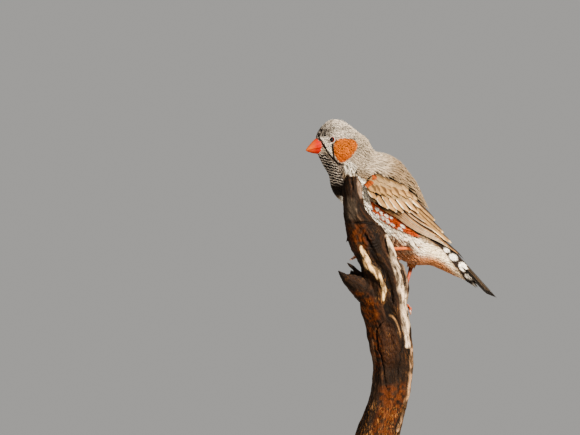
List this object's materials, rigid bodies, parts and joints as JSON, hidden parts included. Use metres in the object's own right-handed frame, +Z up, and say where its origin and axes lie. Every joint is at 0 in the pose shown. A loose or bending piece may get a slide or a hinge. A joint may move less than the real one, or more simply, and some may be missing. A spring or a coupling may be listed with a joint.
{
  "type": "zebra finch model",
  "caption": "Life-size male zebra finch, leaning forward and gripping a weathered upright branch, on a plain round display stand.",
  "frame": {"origin": "centre of the stand's underside, on the surface it stands on", "axes": "+Z up, the bird faces -X, its left side faces -Y"},
  "size_m": [0.096, 0.096, 0.1608],
  "materials": {
    "grey_plumage": "soft grey feathers",
    "brown_plumage": "buff-brown flight feathers",
    "dark_plumage": "blackish tail feathers",
    "bill": "waxy orange-red horn",
    "eye": "wet dark red",
    "leg": "scaly orange skin",
    "claw": "smooth horn",
    "dead_wood": "weathered, barkless",
    "stand_wood": "plain dark satin",
    "rod_steel": "brushed"
  },
  "bodies": {
    "root": {"head": "grey_plumage", "neck": "grey_plumage", "torso": "grey_plumage", "thigh_left": "grey_plumage", "thigh_right": "grey_plumage", "wing_left": "brown_plumage", "wing_right": "brown_plumage", "tail": "dark_plumage", "bill_upper": "bill", "bill_lower": "bill", "eye_left": "eye", "eye_right": "eye", "tarsus_left": "leg", "tarsus_right": "leg", "foot_left": "leg", "foot_right": "leg", "claw_left_inner": "claw", "claw_left_middle": "claw", "claw_left_outer": "claw", "claw_left_hind": "claw", "claw_right_inner": "claw", "claw_right_middle": "claw", "claw_right_outer": "claw", "claw_right_hind": "claw", "perch": "dead_wood", "stand_base": "stand_wood", "stand_rod": "rod_steel"}
  },
  "joints": []
}
